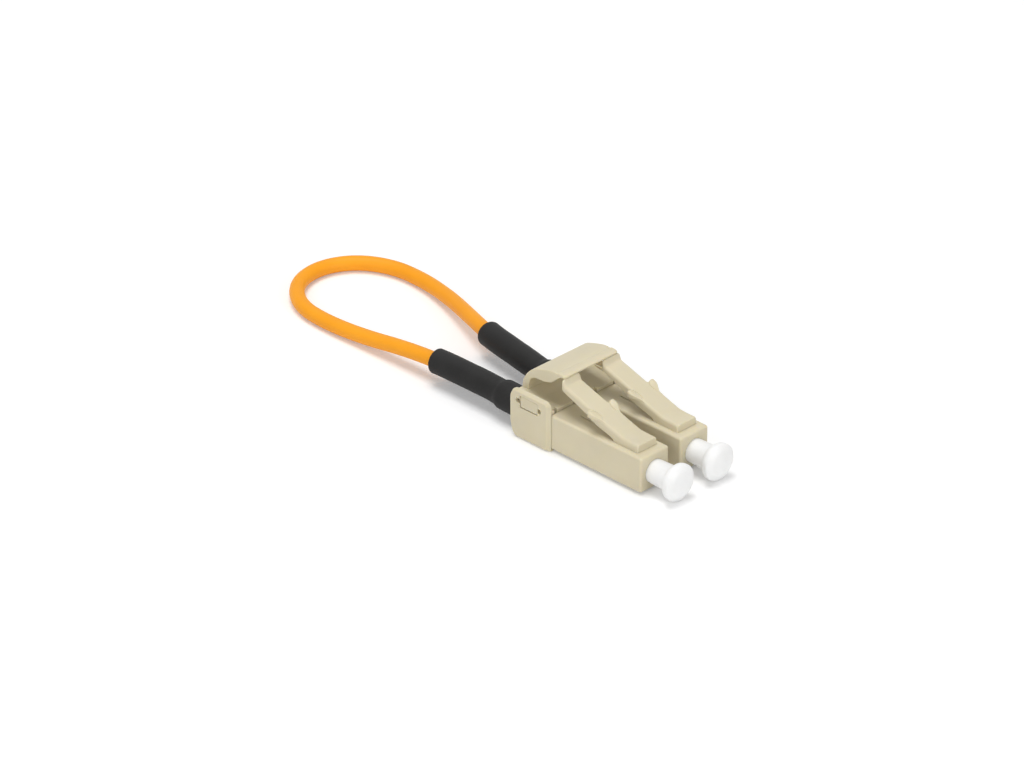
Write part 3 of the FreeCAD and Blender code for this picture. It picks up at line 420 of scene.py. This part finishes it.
def rounded(corners, steps=5, closed=True):
    """Points of an outline whose corners (x, z, radius) are rounded by arcs."""
    points = []
    count = len(corners)
    for number, (x, z, radius) in enumerate(corners):
        corner = Vector((x, z))
        if radius <= 0 or (not closed and number in (0, count - 1)):
            points.append(corner)
            continue
        into = Vector(corners[number - 1][:2]) - corner
        away = Vector(corners[(number + 1) % count][:2]) - corner
        half = into.angle(away) / 2
        reach = min(radius / math.tan(half), MOST_OF_EDGE * into.length, MOST_OF_EDGE * away.length)
        radius = reach * math.tan(half)
        first = corner + into.normalized() * reach
        last = corner + away.normalized() * reach
        centre = corner + (into.normalized() + away.normalized()).normalized() * (radius / math.sin(half))
        turn = math.pi - 2 * half
        for step in range(steps + 1):
            of_first = math.sin((1 - step / steps) * turn) / math.sin(turn)
            of_last = math.sin(step / steps * turn) / math.sin(turn)
            points.append(centre + (first - centre) * of_first + (last - centre) * of_last)
    return points


def drawn_in(corners, by, shares=()):
    """Corners (x, z, radius), anticlockwise, drawn in by a distance or by each edge's share of it."""
    moved = []
    for number, (x, z, radius) in enumerate(corners):
        spot = Vector((x, z))
        before = (spot - Vector(corners[number - 1][:2])).normalized()
        after = (Vector(corners[(number + 1) % len(corners)][:2]) - spot).normalized()
        turn = before.x * after.y - before.y * after.x
        if shares:
            moved_to = spot + (after * shares[number - 1] - before * shares[number]) * (by / turn)
        else:
            inward = Vector((-before.y - after.y, before.x + after.x))
            moved_to = spot + inward * (by / (1 + before.dot(after)))
        if radius > 0:
            radius = max(radius - by, LEAST_ROUND) if turn > 0 else radius + by
        moved.append((*moved_to, radius))
    return moved


def run_mesh(name, points, rings):
    """A closed mesh of rings of points laid one after the other, with a face over each end."""
    around = len(points) // rings
    ends = [tuple(range(around)), tuple(range(len(points) - around, len(points)))]
    return sound_mesh(name, points, ring_faces(rings, around) + ends)


def bar(corners, low, high, edge=0.0, steps=5, rows_at=(), form=ROLLED, shares=()):
    """A moulded bar with this side view between two y places, its long edges rolled over or bevelled."""
    rows = [(low, 0.0), (high, 0.0)]
    if edge > 0:
        rows = [(low + edge * across, edge * inward) for across, inward in form]
        rows += [(low + at, 0.0) for at in rows_at] + [(high - at, 0.0) for at in reversed(rows_at)]
        rows += [(high - edge * across, edge * inward) for across, inward in reversed(form)]
    points = []
    for y, by in rows:
        points += [(FRONT + spot.x, y, spot.y) for spot in rounded(drawn_in(corners, by, shares), steps)]
    return run_mesh("bar", points, len(rows))


def block(back, front, low_y, high_y, low, high, radius=0.0, edge=0.0):
    """A bar with a rectangle as its side view."""
    return bar([(back, low, radius), (front, low, radius), (front, high, radius), (back, high, radius)],
               low_y, high_y, edge)


def worked(base, added=(), cut=(), soften=0.0):
    """A mesh with others joined to it and cut from it, and its sharp edges softened."""
    helper = bpy.data.objects.new("work", base)
    scene.collection.objects.link(helper)
    tools = []
    for operation, meshes in (("UNION", added), ("DIFFERENCE", cut)):
        for mesh in meshes:
            tool = bpy.data.objects.new("tool", mesh)
            scene.collection.objects.link(tool)
            tools.append(tool)
            step = helper.modifiers.new("step", "BOOLEAN")
            step.operation = operation
            step.solver = "EXACT"
            step.object = tool
    if soften > 0:
        soft = helper.modifiers.new("soft", "BEVEL")
        soft.width = soften
        soft.segments = 2
        soft.limit_method = "ANGLE"
        soft.angle_limit = SOFT_ANGLE
        soft.use_clamp_overlap = True
    bpy.context.view_layer.update()
    made = bpy.data.meshes.new_from_object(helper.evaluated_get(bpy.context.evaluated_depsgraph_get()))
    for used in [helper, *tools]:
        spent = used.data
        bpy.data.objects.remove(used)
        bpy.data.meshes.remove(spent)
    return made


def keyhole(y):
    """The cutter of a cable slot: a round bottom and straight sides, along the plug's axis."""
    turns = [math.radians(turn) for turn in range(180, 361, 10)]
    view = [(y + SLOT_HALF * math.cos(turn), AXIS_HIGH + SLOT_HALF * math.sin(turn)) for turn in turns]
    view += [(y + SLOT_HALF, SLOT_TOP), (y - SLOT_HALF, SLOT_TOP)]
    return run_mesh("keyhole", [(x, *spot) for x in (-PAST, PAST) for spot in view], 2)


clip_cuts = [block(-PAST, PAST, -CLIP_INNER, CLIP_INNER, HOUSING_TOP, PAST)]
for y in PLUG_Y.values():
    clip_cuts.append(block(BAY_BACK, PAST, y - BAY_HALF, y + BAY_HALF, FLOOR_THICK, BAY_TOP))
    clip_cuts.append(keyhole(y))
    wall = math.copysign(CLIP_HALF, y)
    near, far = wall - WINDOW_DEEP, wall + WINDOW_DEEP
    clip_cuts.append(block(LUG[0] - LUG_PLAY, LUG[1] + LUG_PLAY, near, far,
                           LUG[2] - LUG_PLAY, LUG[3] + LUG_PLAY, LUG_ROUND))
    clip_cuts += [block(back, front, near, far, low, high, NOTCH_ROUND) for back, front, low, high in NOTCHES]
cradle = bar(CLIP_SIDE, -CLIP_HALF, CLIP_HALF, CLIP_EDGE, form=BEVELLED, shares=CLIP_RIM)
clip = finished("moulded_clip_base", worked(cradle, (), clip_cuts, CLIP_SOFT), beige)
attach(clip, "plug_pair")
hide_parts("clip_base")

# Clip top: a second beige moulding. Its deck lies on the plugs, its skirts hang inside the walls of the
# base with the snap lugs, and a thin springy leg at the rear carries the trigger over both latches.
DECK_LOW = 4.62
DECK_SIDE = 5.315
DECK_VIEW = [(-6.05, DECK_LOW, 0.1), (-0.3, DECK_LOW, 0.05), (-0.3, 4.95, 0.1), (-3.4, 5.08, 2.5),
             (-4.9, 5.57, 0.3), (-6.05, 5.57, 0.2)]
DECK_EDGE = 0.05
TRIGGER_HALF = 4.2
TRIGGER_VIEW = [(-5.92, 5.1, 0.0), (-4.95, 5.1, 0.0), (-4.95, 6.1, 0.6), (-4.68, 6.95, 0.6),
                (-4.05, 7.38, 0.7), (-2.6, 7.46, 0.9), (-1.45, 7.78, 0.7), (-0.25, 8.86, 0.35),
                (0.60, 9.03, 0.07), (0.65, 9.24, 0.13), (0.28, 9.37, 0.4), (-0.26, 9.37, 0.2),
                (-0.58, 9.25, 0.15), (-0.95, 9.29, 0.5), (-1.55, 9.26, 6.0), (-2.8, 8.93, 20.0),
                (-4.3, 8.43, 2.6), (-5.32, 7.4, 3.0), (-5.86, 6.3, 2.0), (-5.9, 5.6, 0.3)]
TRIGGER_EDGE = 0.1
TRIGGER_STEPS = 8
LIP_ROUND = 0.25
LIP_REACH = 0.5
LIP_ROWS = (0.16, 0.22, 0.28, 0.34, 0.4)
SKIRT = (-5.3, -1.65, 3.6, 4.785)
SKIRT_THICK = 0.28
SKIRT_INSET = 0.002
LUG_FACE = 5.69
LUG_ROOT = 0.15
LUG_EDGE = 0.08
RIB = (-0.85, -0.3, DECK_LOW, 5.07)
RIB_HALF = 1.25
RIB_ROUND = 0.06
HOLE = 0.42
HOLE_LOW = 3.6
HOLE_HIGH = 5.2


def hole_spans(y):
    """The y places of the two small holes, one at each end of a plug's rib."""
    middles = [y + end * (RIB_HALF + HOLE / 2) for end in (-1, 1)]
    return [(middle - HOLE / 2, middle + HOLE / 2) for middle in middles]


trigger = bar(TRIGGER_VIEW, -TRIGGER_HALF, TRIGGER_HALF, TRIGGER_EDGE, TRIGGER_STEPS, LIP_ROWS)
for vertex in trigger.vertices:
    inset = LIP_ROUND - (TRIGGER_HALF - abs(vertex.co.y))
    reach = min((vertex.co.x - FRONT + LIP_REACH) / LIP_REACH, 1.0)
    if inset > 0 and reach > 0:
        vertex.co.x -= (LIP_ROUND - math.sqrt(LIP_ROUND ** 2 - inset ** 2)) * reach
top_added = [trigger]
top_cuts = []
for y in PLUG_Y.values():
    hand = math.copysign(1, y)
    near, far = sorted((hand * (DECK_SIDE - SKIRT_THICK), hand * (DECK_SIDE - SKIRT_INSET)))
    top_added.append(block(SKIRT[0], SKIRT[1], near, far, SKIRT[2], SKIRT[3]))
    near, far = sorted((hand * (DECK_SIDE - LUG_ROOT), hand * LUG_FACE))
    top_added.append(block(LUG[0], LUG[1], near, far, LUG[2], LUG[3], LUG_ROUND, LUG_EDGE))
    top_added.append(block(RIB[0], RIB[1], y - RIB_HALF, y + RIB_HALF, RIB[2], RIB[3], RIB_ROUND, RIB_ROUND))
    top_cuts += [block(RIB[1] - HOLE, PAST, low, high, HOLE_LOW, HOLE_HIGH) for low, high in hole_spans(y)]
deck = bar(DECK_VIEW, -DECK_SIDE, DECK_SIDE, DECK_EDGE)
top = finished("moulded_clip_top", worked(deck, top_added, top_cuts), beige)
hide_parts("clip_deck", "clip_trigger")
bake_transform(top)

# Plug housings: beige moulded tubes of square section. The front cavity takes the socket's sleeve, and
# the bore behind it holds the ferrule with its spring.
HOUSING_HALF = 2.2
HOUSING_BACK = -1.5
HOUSING_FRONT = 13.3
HOUSING_ROUND = 0.3
BORE = [(HOUSING_BACK - 1, 0.0), (HOUSING_BACK - 1, 1.45), (9.85, 1.45), (9.85, 0.725), (10.45, 0.725),
        (10.45, 1.412), (13.27, 1.412), (13.31, 1.44), (14.3, 1.44), (14.3, 0.0)]
SLIT = (2.0, 6.5)
SLIT_HALF = 0.125
SLIT_DEEP = 0.5
HOLE_DEEP = 0.5
TURNED_AROUND = 72


def turned(profile, y):
    """A turned form about a plug's axis from (x, radius) points that end on the axis or where they start."""
    points = []
    for x, radius in profile:
        for step in range(TURNED_AROUND):
            turn = 2 * math.pi * step / TURNED_AROUND
            points.append((FRONT + x, y + radius * math.cos(turn), AXIS_HIGH + radius * math.sin(turn)))
    return sound_mesh("turned", points, ring_faces(len(profile), TURNED_AROUND))


for side, y in PLUG_Y.items():
    cuts = [turned(BORE, y),
            block(SLIT[0], SLIT[1], y - SLIT_HALF, y + SLIT_HALF, HOUSING_TOP - SLIT_DEEP, PAST)]
    cuts += [block(RIB[1] - HOLE, RIB[1], low, high, HOUSING_TOP - HOLE_DEEP, PAST)
             for low, high in hole_spans(y)]
    body = block(HOUSING_BACK, HOUSING_FRONT, y - HOUSING_HALF, y + HOUSING_HALF, FLOOR_THICK, HOUSING_TOP,
                 HOUSING_ROUND, HOUSING_ROUND)
    housing = finished(f"plug_housing_{side}", worked(body, (), cuts), beige)
    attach(housing, "plug_pair")
    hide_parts(f"housing_{side}")

# Latches: the sprung arm on top of each plug, moulded in one with the housing. Its root stands on the
# housing, two shoulders lock in the socket, and the hook on the tail lies under the trigger.
ROOT_FRONT = 12.13
ROOT_TOP = 5.52
ROOT_HALF = 1.5
ROOT_ROLL = [(0.0, 0.15), (0.01, 0.09), (0.05, 0.04), (0.15, 0.0)]
ARM_HALF = 1.35
ARM_TOP_AT = (8.406, 5.968)
ARM_RISE = 0.3134
BEND_SOFT = 0.07
BEND_SINK = 0.01
UNDER = [(0.0, 7.86), (6.0, 5.50), (7.2, 5.19), (7.9, 5.00), (8.2, 4.88), (8.4, 4.74), (8.5, 4.58),
         (8.55, 4.45)]
ARM_ROUND = 0.36
UNDER_ROUND = 0.12
ARM_STEPS = 4
WIDE_STATIONS = (11.5, 11.0, 10.7, 10.5, 10.3, 10.1, 9.95, 9.8, 9.65, 9.5, 9.3, 9.1, 8.9, 8.7, 8.55, 8.5,
                 8.45, 8.4, 8.3, 8.2, 8.05, 7.9, 7.5, 7.2, 6.6, 6.0, 5.4)
NARROWING = ((5.0, 0.0), (4.9, 0.5), (4.8, 1.0))
NARROW_STATIONS = (4.0, 3.0, 2.0, 1.3, 0.95)
HOOK = [(0.86, 8.38, 0.0), (0.78, 8.52, 0.0), (0.70, 8.72, 0.0), (0.64, 8.88, 0.0), (0.58, 8.96, 0.0),
        (0.52, 8.985, 0.03), (0.45, 8.985, 0.06)]


def arm_top(x):
    """Height of the latch's top: flat over the root, and then the sloping arm."""
    slope = ARM_TOP_AT[1] + (ARM_TOP_AT[0] - x) * ARM_RISE
    return (ROOT_TOP + slope) / 2 + math.hypot((slope - ROOT_TOP) / 2, BEND_SOFT) - BEND_SINK


def read_off(line, x):
    """The value at x on a line of (x, value) points, and the last value past its end."""
    for (back, first), (front, last) in zip(line, line[1:]):
        if x < front:
            return first + (last - first) * (x - back) / (front - back)
    return line[-1][1]


def latch_mesh(y):
    """The root and the arm as one run of rounded sections from front to tail."""
    rows = [(ROOT_FRONT - back, ROOT_TOP - inset, ROOT_HALF - inset) for back, inset in ROOT_ROLL]
    rows += [(x, arm_top(x), ROOT_HALF) for x in WIDE_STATIONS]
    rows += [(x, arm_top(x), ROOT_HALF + (ARM_HALF - ROOT_HALF) * share) for x, share in NARROWING]
    rows += [(x, arm_top(x), ARM_HALF) for x in NARROW_STATIONS]
    rows += [(x, high, ARM_HALF - inset) for x, high, inset in HOOK]
    points = []
    for x, high, half in rows:
        low = read_off(UNDER, x)
        section = rounded([(-half, low, UNDER_ROUND), (half, low, UNDER_ROUND),
                           (half, high, ARM_ROUND), (-half, high, ARM_ROUND)], ARM_STEPS)
        points += [(FRONT + x, y + spot.x, spot.y) for spot in section]
    return run_mesh("latch", points, len(rows))


SHOULDER_HALF = 2.05
SHOULDER_FRONT_HALF = 1.42
SHOULDER_INNER = 0.8
SHOULDER_LOW = 6.42
SHOULDER_THICK = 0.34
SHOULDER_LIFT = 0.19
SHOULDER_SINK = 0.05
SHOULDER_FADE = (5.4, 6.8)
SHOULDER_CREST = 1.68
CREST_FROM_FOOT = 0.1
CREST_FROM_SIDE = 0.15
FOOT_FROM_CREST = 0.05
FOOT_SINK = 0.06
INNER_SINK = 0.2
SIDE_ROUND = 0.3
CREST_ROUND = 0.25
SHOULDER_FOOT = [(4.9, 1.35), (5.65, 1.0), (6.2, 1.05), (7.1, 1.45)]
SHOULDER_ROWS = [(4.96, 0.16), (4.975, 0.09), (5.01, 0.04), (5.09, 0.0)]
SHOULDER_ROWS += [(5.25 + 0.15 * step, 0.0) for step in range(13)]


def shoulder_mesh(y, end):
    """One shoulder: a lump with a square rear face that runs out into the arm in front."""
    points = []
    for x, inset in SHOULDER_ROWS:
        ease = eased(x, *SHOULDER_FADE)
        top = arm_top(x)
        half = SHOULDER_HALF - (SHOULDER_HALF - SHOULDER_FRONT_HALF) * ease - inset
        high = top + SHOULDER_LIFT * (1 - ease) - SHOULDER_SINK * ease - inset
        low = min(SHOULDER_LOW, top - SHOULDER_THICK) + inset
        foot = read_off(SHOULDER_FOOT, x)
        crest = min(max(SHOULDER_CREST, foot + CREST_FROM_FOOT), half - CREST_FROM_SIDE)
        section = rounded([(SHOULDER_INNER, low, 0.0), (half, low, UNDER_ROUND), (half, high, SIDE_ROUND),
                           (crest, high, CREST_ROUND),
                           (min(foot, crest - FOOT_FROM_CREST), top - FOOT_SINK, 0.0),
                           (SHOULDER_INNER, top - INNER_SINK, 0.0)])
        points += [(FRONT + x, y + end * spot.x, spot.y) for spot in section]
    return run_mesh("shoulder", points, len(SHOULDER_ROWS))


GROOVE = [(4.80, 1.44, 0.03), (5.15, 1.24, 0.01), (5.55, 1.08, 0.0), (6.0, 1.04, 0.0), (6.45, 1.14, 0.04),
          (6.9, 1.36, 0.11)]
GROOVE_WIDE = 0.24
GROOVE_AROUND = 12


def groove_mesh(y, end):
    """The cutter of the curved groove between the arm's top and a shoulder, which runs out in front."""
    points = []
    for number, (x, across, lift) in enumerate(GROOVE):
        back = GROOVE[max(number - 1, 0)]
        front = GROOVE[min(number + 1, len(GROOVE) - 1)]
        ahead = Vector((front[0] - back[0], front[1] - back[1])).normalized()
        for step in range(GROOVE_AROUND):
            turn = 2 * math.pi * step / GROOVE_AROUND
            aside = GROOVE_WIDE / 2 * math.cos(turn)
            points.append((FRONT + x - ahead.y * aside, y + end * (across + ahead.x * aside),
                           arm_top(x) + lift + GROOVE_WIDE / 2 * math.sin(turn)))
    return run_mesh("groove", points, len(GROOVE))


for side, y in PLUG_Y.items():
    shoulders = [shoulder_mesh(y, end) for end in (-1, 1)]
    grooves = [groove_mesh(y, end) for end in (-1, 1)]
    latch = finished(f"latch_arm_{side}", worked(latch_mesh(y), shoulders, grooves), beige)
    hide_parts(f"latch_{side}")
    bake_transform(latch)

# Dust caps: soft white moulded caps pushed over the ferrules, the neck in the front cavity, with a
# domed head to pull them by.
CAP_OUTLINE = [(10.9, 0.64, 0.0), (10.9, 1.40, 0.1), (13.3, 1.40, 0.0), (15.9, 1.50, 0.7),
               (16.38, 2.13, 0.3), (16.7, 2.2, 0.3), (17.1, 2.2, 0.3), (17.5, 1.55, 0.9),
               (17.65, 0.5, 1.5), (17.65, 0.0, 0.0)]
CAP_BORE = [(15.35, 0.0), (15.35, 0.64), (10.9, 0.64)]
CAP_STEPS = 7
CAP_SHARP = 50.0
white_cap, start = new_finish("white_cap_plastic")
place = start.node("ShaderNodeTexCoord", out="Object")
cloud = start.node("ShaderNodeTexNoise", {}, {"Vector": place, "Scale": 500.0, "Detail": 2.0})
skin = start.node("ShaderNodeTexNoise", {}, {"Vector": place, "Scale": 3500.0, "Detail": 3.0})
colour = start.node("ShaderNodeValToRGB", {"stops": [
    (0.3, (0.86, 0.86, 0.85)), (0.7, (0.89, 0.89, 0.885))]}, {"Fac": cloud})
start.node("ShaderNodeOutputMaterial", {}, {"Surface": start.node("ShaderNodeBsdfPrincipled", {}, {
    "Base Color": colour, "Roughness": 0.34 + 0.12 * skin, "Specular IOR Level": 0.4,
    "Subsurface Weight": 0.25, "Subsurface Radius": (1.0, 0.95, 0.9), "Subsurface Scale": 0.0008,
    "Normal": start.node("ShaderNodeBump", {}, {
        "Strength": 0.1, "Distance": 0.00003, "Height": skin})})})
cap_profile = [tuple(spot) for spot in rounded(CAP_OUTLINE, CAP_STEPS, closed=False)] + CAP_BORE
for side, y in PLUG_Y.items():
    cap = finished(f"white_cap_{side}", turned(cap_profile, y), white_cap, CAP_SHARP)
    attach(cap, f"{side}_cap")
    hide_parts(f"dust_cap_{side}")

# Inner pieces: ceramic ferrules in nickel-plated flanges, moulded rear bodies, crimp sleeves and buffered
# fibres. They keep their solids and get their own finishes: dark and light colour, metal, roughness, grain.
INNER = {
    "ferrule": ("ferrule_ceramic", (0.84, 0.83, 0.80), (0.88, 0.87, 0.85), 0.0, 0.12, 3000.0),
    "ferrule_flange": ("flange_metal", (0.62, 0.60, 0.56), (0.72, 0.70, 0.66), 1.0, 0.28, 6000.0),
    "rear_body": ("rear_plastic", (0.60, 0.54, 0.39), (0.66, 0.595, 0.43), 0.0, 0.45, 7000.0),
    "fibre": ("fibre_buffer", (0.78, 0.76, 0.70), (0.84, 0.82, 0.77), 0.0, 0.40, 4000.0),
    "crimp_sleeve": ("crimp_metal", (0.55, 0.53, 0.48), (0.68, 0.66, 0.60), 1.0, 0.34, 5000.0),
}


def inner_finish(name, dark, light, metal, rough, scale):
    """A fine mottled finish between two colours."""
    material, start = new_finish(name)
    place = start.node("ShaderNodeTexCoord", out="Object")
    fleck = start.node("ShaderNodeTexNoise", {}, {"Vector": place, "Scale": scale, "Detail": 4.0})
    colour = start.node("ShaderNodeValToRGB", {"stops": [(0.3, dark), (0.7, light)]}, {"Fac": fleck})
    start.node("ShaderNodeOutputMaterial", {}, {"Surface": start.node("ShaderNodeBsdfPrincipled", {}, {
        "Base Color": colour, "Metallic": metal, "Roughness": rough + 0.12 * fleck,
        "Normal": start.node("ShaderNodeBump", {}, {
            "Strength": 0.08, "Distance": 0.00002, "Height": fleck})})})
    return material


for piece, (finish, *looks) in INNER.items():
    material = inner_finish(finish, *looks)
    for side in PLUG_Y:
        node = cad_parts[f"{piece}_{side}"]
        node.data.materials.clear()
        node.data.materials.append(material)

# Ferrule springs: coils of drawn steel wire with close end turns. Each stands between the rear body and
# the ferrule's flange.
SPRING_WIRE = 0.3
SPRING_MEAN = 2.2
SPRING_TURNS = 6
END_PITCH = 0.36
TURN_STEPS = 32
WIRE_AROUND = 12
spring_steel = inner_finish("spring_steel", (0.52, 0.52, 0.53), (0.62, 0.62, 0.63), 1.0, 0.25, 8000.0)


def spring_mesh(y, back, front):
    """A coil about a plug's axis between two places on it, with a close turn at each end."""
    first = back + SPRING_WIRE / 2
    last = front - SPRING_WIRE / 2
    open_turns = SPRING_TURNS - 2
    open_pitch = (last - first - 2 * END_PITCH) / open_turns
    ahead = Vector((1, 0, 0))
    count = SPRING_TURNS * TURN_STEPS + 1
    points = []
    for number in range(count):
        turns = number / TURN_STEPS
        x = first + END_PITCH * turns + (open_pitch - END_PITCH) * min(max(turns - 1, 0), open_turns)
        out = Vector((0, math.cos(2 * math.pi * turns), math.sin(2 * math.pi * turns)))
        middle = Vector((x, y, AXIS_HIGH)) + out * (SPRING_MEAN / 2)
        for step in range(WIRE_AROUND):
            roll = 2 * math.pi * step / WIRE_AROUND
            points.append(middle + (out * math.cos(roll) + ahead * math.sin(roll)) * (SPRING_WIRE / 2))
    return run_mesh("spring", points, count)


for side, y in PLUG_Y.items():
    back, front = (corner[0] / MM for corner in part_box(f"ferrule_spring_{side}"))
    spring = finished(f"coil_spring_{side}", spring_mesh(y, back, front), spring_steel)
    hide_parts(f"ferrule_spring_{side}")
    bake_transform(spring)
